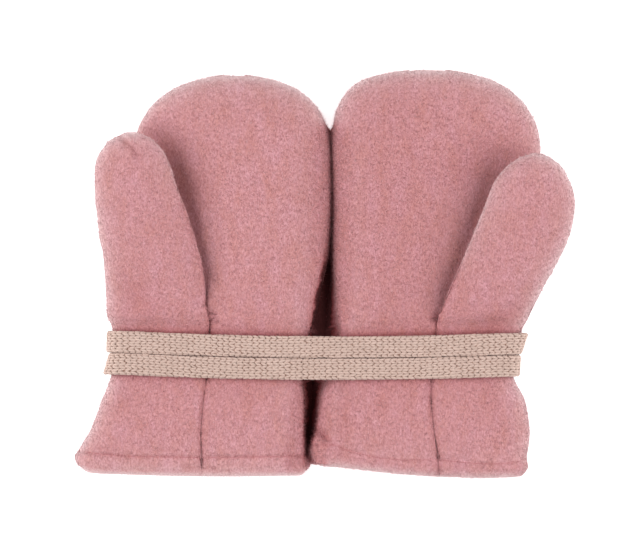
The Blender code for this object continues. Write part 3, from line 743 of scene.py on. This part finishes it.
wool = wool_material("pink_wool_fleece")
# Faces deep in the gap's painted shade take a wool without sheen, whose painted shade darkens the red more.
painted_shade_wool = wool_material("pink_wool_pressed", sheen=0.0, red_kept=0.75)
panels = {node: panel_from(node, wool) for node in PANELS}
outlines = {
    side: outline_of([panel for node, panel in panels.items() if node.startswith(side)])
    for side in ("left", "right")
}
for node, panel in panels.items():
    mesh = panel.data
    points = coordinates(mesh) / MM
    normals = normals_of(mesh)
    outer, rim = attribute(mesh, "outer"), attribute(mesh, "rim")
    x, y = points[:, 0], points[:, 1]
    side, part = node.split("_", 1)
    toward = 1 if side == "left" else -1  # the way to the other mitten
    resting = part == "back"
    move = sum(high * noise_at(points, wide, seed) for high, wide, seed in LUMPS)
    # deep is painted shade: how much the wool's colour is darkened in creases, seams, beside the cord and
    # the thumbs, and in the gap.
    deep = np.zeros(len(points))
    for face, cx, cy, heading, length, width, depth, shade in CREASES:
        if (face == "under") == resting:
            turn = math.radians(heading)
            along = (x - cx) * math.cos(turn) + (y - cy) * math.sin(turn)
            across = (y - cy) * math.cos(turn) - (x - cx) * math.sin(turn)
            form = np.exp(-((2 * along / length) ** 2) - (across / width) ** 2)
            move -= depth * form
            deep += shade * form

    # The seams pull the cloth in, unevenly, and the hem's stitches sink into it. Both are darkened with
    # painted shade as well.
    hem_y = np.interp(x, *zip(*HEM_LINE[side]))
    from_seam = x - SEAM_X[side]
    at_seam = (np.abs(from_seam) < SEAM_NEAR) & (y < SEAM_TOP_Y)
    astray = at_seam & (toward * from_seam > SEAM_CORE)
    on_rim = (rim > 0.99) & ~astray
    seams = np.flatnonzero(on_rim & ((y > hem_y - HEM_CLEAR) | at_seam & (np.abs(from_seam) < SEAM_CORE)))
    away, nearest = distance_to(points, points[seams])
    on_top = at_seam[seams][nearest] * (0.0 if resting else 1.0)
    uneven = np.clip(noise_at(points, 2.6, 3) + 0.1, 0, 1)
    groove = (0.05 + 0.15 * uneven) * hump(away, 1.5)
    groove += on_top * (0.3 + 0.35 * uneven) * hump(away, 1.0)
    deep += on_top * (0.12 + 0.12 * uneven) * hump(away, 1.1)
    dimples = (0.5 + 0.5 * np.cos(2 * math.pi * along_stitching(x) / STITCH)) ** 2
    stitched = hump(y - hem_y, 0.65)
    groove = np.maximum(groove, (0.3 + 0.3 * dimples) * stitched)
    deep += (0.12 + 0.08 * dimples) * stitched
    move -= groove
    if resting:
        move = np.where(points[:, 2] < 1.0, np.minimum(move, 0.0), move)
    # The cloth swells beside each turn of the cord, and painted shade darkens it along the cord's edges.
    cord_y = np.interp(x, TURN_X, TURN_Y)
    for edge, way, dark in CORD_EDGES:
        beyond = way * (y - cord_y - edge)
        swell, off, wide = CORD_SWELL
        move += swell * normals[:, 2] ** 2 * hump(beyond - off, wide)
        deep += dark * np.exp(-np.abs(beyond) / 1.5) + dark / 4 * np.exp(-np.abs(beyond) / 4.5)
    # A palm rises beside the thumb's root, and further up it is darkened with the thumb's painted shade.
    if node in CROTCHES:
        line, top, rise = CROTCHES[node]
        beside = toward * (x - np.interp(y, *zip(*line)))
        rise = rise * (1 - smooth_step((y - top + 12) / 12)) * smooth_step((y + 21) / 10)
        move += rise * np.where(beside > 0, hump(beside, 6.0), smooth_step(beside + 1))
    if node in PAINTED_THUMB_SHADE:
        thumb_shade_y, edge_x, wide, dark = zip(*PAINTED_THUMB_SHADE[node])
        beside = np.maximum(toward * (x - np.interp(y, thumb_shade_y, edge_x)), 0.0)
        shade = np.interp(y, thumb_shade_y, dark) * smooth_step((60.0 - y) / 12.0)
        deep += shade * hump(beside, np.interp(y, thumb_shade_y, wide))

    # Painted sheen turns the edges pale, but not in the shade where the two mittens meet.
    reach = np.maximum(distance_to(points * (1, 1, 0), outlines[side])[0] - 0.2, 0)
    pale = mix(
        edge_sheen(reach, 0.4, 0.48),
        0.64 * np.exp(-reach / 1.15),
        smooth_step((hem_y - HEM_SHEEN[side] - y) / 1.5),
    )
    # The painted sheen is stronger on slopes that face the fingertips or the hems.
    pale *= 0.72 + 0.82 * np.abs(normals[:, 1])
    if part == "thumb_outer":
        inner_edge = points[on_rim & ~at_seam]
        near = distance_to(points, inner_edge)[0]
        from_y, to_y, inner_sheen = THUMB_SHEEN[side]
        inner_sheen = inner_sheen * smooth_step((y - from_y) / (to_y - from_y))
        pale = np.maximum(pale, inner_sheen * edge_sheen(near, 0.4, 0.5))
    gap_x = np.interp(y, *zip(*GAP_MIDDLE))
    beside_gap = np.clip(1 - np.abs(x - gap_x) / GAP_WIDE, 0, 1) * smooth_step((56.0 - y) / 10.0)
    pale *= 1 - smooth_step(beside_gap * 2.5) * smooth_step((y + 70.0) / 4.0)

    points += normals * (move * outer)[:, None]
    closing = toward * GAP_CLOSING * smooth_step(beside_gap * 1.8)
    points[:, 0] += closing * smooth_step((y + 8) / 14) * smooth_step((52 - y) / 10)
    for thumb, (low_y, high_y, lift) in THUMB_LIFTS.items():
        if node.startswith(thumb):
            points[:, 2] += lift * smooth_step((y - low_y) / (high_y - low_y))
    if resting:
        # The two backs spread low down until they meet in the middle.
        x, y = points[:, 0].copy(), points[:, 1].copy()
        rows = np.clip(((y - FIRST_ROW_Y) / ROW_LONG).astype(int), 0, ROW_COUNT - 1)
        row_y = FIRST_ROW_Y + ROW_LONG * (np.arange(ROW_COUNT) + 0.5)
        bottom, reach = np.full(ROW_COUNT, 99.0), np.full(ROW_COUNT, -99.0)
        np.minimum.at(bottom, rows, points[:, 2])
        above = points[:, 2] - bottom[rows]
        lowest = above < 1.5
        np.maximum.at(reach, rows[lowest], toward * x[lowest])
        edge_x = np.interp(y, row_y, reach)
        middle_x = toward * np.interp(y, *zip(*GAP_MIDDLE))
        missing = np.clip(middle_x + BULGE_PAST - edge_x, 0, BULGE_MOST)
        inward = smooth_step((toward * x - edge_x + BULGE_DEEP) / BULGE_DEEP)
        low = 1 - smooth_step((above - 1.4) / 3.0)
        low *= smooth_step((57.0 - y) / 10.0) * smooth_step((y + 71.0) / 4.0)
        points[:, 0] += toward * missing * inward * low
    points[:, 2] = np.maximum(points[:, 2], 0.0)
    move_to(mesh, points * MM)
    # The gap between the mittens is darkened with painted shade, on the backs only where they face up.
    gap_y, gap_x, gap_wide, gap_dark = zip(*GAP_SHADE)
    x, y = points[:, 0], points[:, 1]
    from_middle = np.abs(x - np.interp(y, gap_y, gap_x))
    within = np.interp(y, gap_y, gap_wide) + 0.5 + 0.5 * noise_at(points, 1.4, 4) - from_middle
    normals = normals_of(mesh)
    facing = smooth_step((normals[:, 2] + 0.6) / 0.3) if resting else 1.0
    gap_painted_shade = np.interp(y, gap_y, gap_dark) * smooth_step(within / GAP_EDGE[side]) * facing
    mesh.materials.append(painted_shade_wool)
    for face in mesh.polygons:
        face.material_index = int(min(gap_painted_shade[i] for i in face.vertices) > PAINTED_SHADE_FROM)
    keep(mesh, "pale", np.clip(pale, 0, 1))
    darkest = 0.97 - 0.05 * smooth_step(normals[:, 2])
    deep = 1 - (1 - np.minimum(deep, SHADE_MOST)) * (1 - gap_painted_shade)
    keep(mesh, "deep", np.clip(deep, 0, darkest))
    keep(mesh, "seam", on_top * hump(away, 1.0) + 1.5 * smooth_step(beside_gap * 1.5))
    keep(mesh, "open", 1 - gap_painted_shade)
    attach(panel, "root")
    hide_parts(node)

for node, panel in panels.items():
    (width, length), area = PANELS[node]
    side, part = node.split("_", 1)


# ------------------------------------------------------------------ The hems' stitches
# Pink thread holds each turned hem 7 mm above its fold, in stitches 3 mm long that the wool nearly
# swallows. They show the same on the palm and on the back.
THREAD = 0.34
STITCH_SHOWN = 2.3
THREAD_SUNK = 0.1
TACK_STITCHES, TACK_STEP, TACK_SLANT, TACK_LONG = 9, 0.55, 0.12, 2.4

pink_thread = new_material("pink_thread", (0.40, 0.16, 0.17), 0.7)


def lay_stitches(name, places, length, material):
    """Short rounded stitches as one piece. Each place has the stitch's middle and its heading."""
    bm = bmesh.new()
    shape = Matrix.Diagonal((length / 2 * MM, THREAD / 2 * MM, THREAD / 2 * MM, 1.0))
    for middle, heading in places:
        where = Matrix.Translation(Vector(middle) * MM) @ Matrix.Rotation(heading, 4, "Z")
        bmesh.ops.create_uvsphere(bm, u_segments=8, v_segments=6, radius=1, matrix=where @ shape)
    stitches = new_piece(name, bm, material)
    stitches.data.shade_smooth()
    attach(stitches, "root")
    return stitches


for side, line in HEM_LINE.items():
    over = tree_of([panels[side + "_palm"], panels[side + "_thumb_outer"]])[0]
    under = tree_of([panels[side + "_back"]])[0]
    line_x, line_y = zip(*line)
    fine_x = np.arange(line_x[0], line_x[-1], 0.05)
    holes = along_stitching(fine_x) / STITCH
    places = []
    for k in np.arange(math.ceil(holes[0]), holes[-1] - 1) + 0.5:
        x = float(np.interp(k, holes, fine_x))
        y = float(np.interp(x, line_x, line_y))
        heading = math.atan2(np.interp(x + 1, line_x, line_y) - np.interp(x - 1, line_x, line_y), 2)
        for tree, start, way in ((over, RAY_TOP, -1.0), (under, RAY_BOTTOM, 1.0)):
            spot, normal = tree.ray_cast(Vector((x, y, start)), Vector((0, 0, way)))[:2]
            if spot and abs(normal.z) > 0.7:
                places.append(((x, y, max(spot.z + way * THREAD_SUNK, THREAD / 2)), heading))
    lay_stitches(side + "_hem_stitches", places, STITCH_SHOWN, pink_thread)

# A bar tack at each end of the cord holds it to the back.
beige_thread = new_material("beige_thread", (0.50, 0.35, 0.29), 0.7)
tacks = [
    ((x * 1.04, y + TACK_STEP * (k - TACK_STITCHES // 2), THREAD / 2), TACK_SLANT * (-1) ** k)
    for x, y in ((-CORD_END_X, TURN_Y[0]), (CORD_END_X, TURN_Y[2] - TURN_PITCH))
    for k in range(TACK_STITCHES)
]
lay_stitches("cord_end_tacks", tacks, TACK_LONG, beige_thread)


# ------------------------------------------------------------------ The brushed nap
# Short fine wool fibres on the fleece's outer face, teased out of the cloth by brushing. Most lie
# over it, roughly along the mitten, and thinner ones stand out from its edges.
LYING = ((1.0, 0.07, 0.30), (0.8, 0.10, -0.25), (1.3, 0.06, 0.12))  # length, height and curl
LYING_WIDTH = 0.11
STANDING = ((0.45, 1.15, 0.20), (0.30, 0.85, -0.25), (0.70, 1.00, 0.10))
STANDING_WIDTH = 0.075
LYING_PER_MM2 = {"left_back": 1.0, "right_back": 1.0, "left_thumb_inner": 0.6, "right_thumb_inner": 0.6}
USUAL_LYING = 3.0
STANDING_PER_MM2 = {"left_back": 3.0, "right_back": 3.0}
USUAL_STANDING = 4.0
ON_TABLE = 0.15  # wool lower than this lies on the table, and its pile is pressed

nap_wool = wool_material("pink_wool_nap", blade=True)


def fibre_set(name, shapes, width):
    """A collection of a few fibre shapes, each a thin pointed blade of three sides."""
    fibres = bpy.data.collections.new(name)
    for i, (length, height, curl) in enumerate(shapes):
        bm = bmesh.new()
        bmesh.ops.create_cone(bm, segments=3, radius1=1, radius2=0, depth=1, cap_ends=True)
        top = max(bm.verts, key=lambda v: v.co.z)
        low = [v for v in bm.verts if v is not top]
        lying = length > height
        if lying:
            bend = 0.45 * length
            places = [(-0.05 * length, 0, -0.15), (bend, -width / 2, height), (bend, width / 2, height)]
            top.co = Vector((length, curl * length, 0.75 * height)) * MM
        else:
            places = [(0, -width / 2, -0.1), (0, width / 2, -0.1), (width, 0, -0.1)]
            top.co = Vector((length, curl, height)) * MM
        for vert, place in zip(low, places):
            vert.co = Vector(place) * MM
        bmesh.ops.recalc_face_normals(bm, faces=bm.faces)
        mesh = bpy.data.meshes.new(f"{name}_{i}")
        bm.to_mesh(mesh)
        bm.free()
        fibres.objects.link(bpy.data.objects.new(f"{name}_{i}", mesh))
    return fibres


def nap_group(name, fibres, material, spread, raised):
    """Geometry nodes that scatter the fibres over a panel, heading within spread of the mitten's
    length and raised by up to that angle, and make them real. The panel's attribute of the same
    name says how thickly."""
    group = bpy.data.node_groups.new(name, "GeometryNodeTree")
    group.interface.new_socket("Geometry", in_out="INPUT", socket_type="NodeSocketGeometry")
    group.interface.new_socket("Density", in_out="INPUT", socket_type="NodeSocketFloat")
    group.interface.new_socket("Geometry", in_out="OUTPUT", socket_type="NodeSocketGeometry")
    panel, result = add_node(group, "NodeGroupInput"), add_node(group, "NodeGroupOutput")
    thick = add_node(group, "GeometryNodeInputNamedAttribute", {"Name": name}, data_type="FLOAT")
    density = add_node(group, "ShaderNodeMath", operation="MULTIPLY")
    scatter = add_node(group, "GeometryNodeDistributePointsOnFaces")
    headings = {0: (-spread, -1.0, 0.0), 1: (spread, 1.0, 0.0), "Seed": 3}
    heading = add_node(group, "FunctionNodeRandomValue", headings, data_type="FLOAT_VECTOR")
    aligned = add_node(group, "FunctionNodeAlignRotationToVector", axis="X", pivot_axis="Z")
    choice = {"Collection": fibres, "Separate Children": True, "Reset Children": True}
    pick = add_node(group, "GeometryNodeCollectionInfo", choice)
    plant = add_node(group, "GeometryNodeInstanceOnPoints", {"Pick Instance": True})
    tilts = {0: (-0.25, -raised, 0.0), 1: (0.25, 0.02, 0.0)}
    tilt = add_node(group, "FunctionNodeRandomValue", tilts, data_type="FLOAT_VECTOR")
    turned = add_node(group, "GeometryNodeRotateInstances")
    sizes = {"Min": 0.65, "Max": 1.25, "Seed": 5}
    size = add_node(group, "FunctionNodeRandomValue", sizes, data_type="FLOAT")
    tone = add_node(
        group, "GeometryNodeStoreNamedAttribute", {"Name": "tone"}, data_type="FLOAT", domain="INSTANCE"
    )
    shade = add_node(group, "FunctionNodeRandomValue", {"Seed": 9}, data_type="FLOAT")
    real = add_node(group, "GeometryNodeRealizeInstances")
    finish = add_node(group, "GeometryNodeSetMaterial", {"Material": material})
    link_all(
        group,
        (thick.outputs["Attribute"], density.inputs[0]),
        (panel.outputs["Density"], density.inputs[1]),
        (panel.outputs["Geometry"], scatter.inputs["Mesh"]),
        (density.outputs[0], scatter.inputs["Density"]),
        (scatter.outputs["Rotation"], aligned.inputs["Rotation"]),
        (heading.outputs["Value"], aligned.inputs["Vector"]),
        (scatter.outputs["Points"], plant.inputs["Points"]),
        (aligned.outputs["Rotation"], plant.inputs["Rotation"]),
        (pick.outputs["Instances"], plant.inputs["Instance"]),
        (size.outputs["Value"], plant.inputs["Scale"]),
        (plant.outputs["Instances"], turned.inputs["Instances"]),
        (tilt.outputs["Value"], turned.inputs["Rotation"]),
        (turned.outputs["Instances"], tone.inputs["Geometry"]),
        (shade.outputs["Value"], tone.inputs["Value"]),
        (tone.outputs["Geometry"], real.inputs["Geometry"]),
        (real.outputs["Geometry"], finish.inputs["Geometry"]),
        (finish.outputs["Geometry"], result.inputs["Geometry"]),
    )
    return group


naps = {
    "nap": nap_group(
        "nap", fibre_set("lying_fibre", LYING, LYING_WIDTH), nap_wool, spread=0.45, raised=0.1
    ),
    "fuzz": nap_group(
        "fuzz", fibre_set("standing_fibre", STANDING, STANDING_WIDTH), nap_wool, spread=1.0, raised=0.35
    ),
}
for node, panel in panels.items():
    mesh = panel.data
    outer = np.clip(attribute(mesh, "outer"), 0, 1)
    points = coordinates(mesh) / MM
    level = np.abs(normals_of(mesh)[:, 2])
    hem_y = np.interp(points[:, 0], *zip(*HEM_LINE[node.split("_")[0]]))
    on_table = points[:, 2] < ON_TABLE
    beside_hem = 1 - 0.6 * hump(points[:, 1] - hem_y, 0.7)
    lying = outer**2 * beside_hem * np.where(on_table, 0.5, 1.0)
    at_edges = np.maximum(smooth_step((0.9 - level) / 0.35), attribute(mesh, "seam"))
    standing = outer * np.where(on_table, 0.0, at_edges)
    keep(mesh, "nap", lying * attribute(mesh, "open"))
    keep(mesh, "fuzz", standing * attribute(mesh, "open"))
    lying_per_mm2 = LYING_PER_MM2.get(node, USUAL_LYING)
    standing_per_mm2 = STANDING_PER_MM2.get(node, USUAL_STANDING)
    for kind, per_mm2 in (("nap", lying_per_mm2), ("fuzz", standing_per_mm2)):
        if kind == "fuzz" and "inner" in node:
            continue
        nap = bpy.data.objects.new(node + "_" + kind, mesh.copy())
        if kind == "fuzz":
            # The standing fibres carry the panel's painted shade, a little weaker.
            keep(nap.data, "deep", 0.9 * attribute(mesh, "deep") ** 2)
        scene.collection.objects.link(nap)
        modifier = nap.modifiers.new("fibres", "NODES")
        modifier.node_group = naps[kind]
        modifier["Socket_1"] = per_mm2 / MM**2
        finish_mesh(nap)
        points = coordinates(nap.data)
        points[:, 2] = np.maximum(points[:, 2], 0.0)
        move_to(nap.data, points)
        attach(nap, "root")
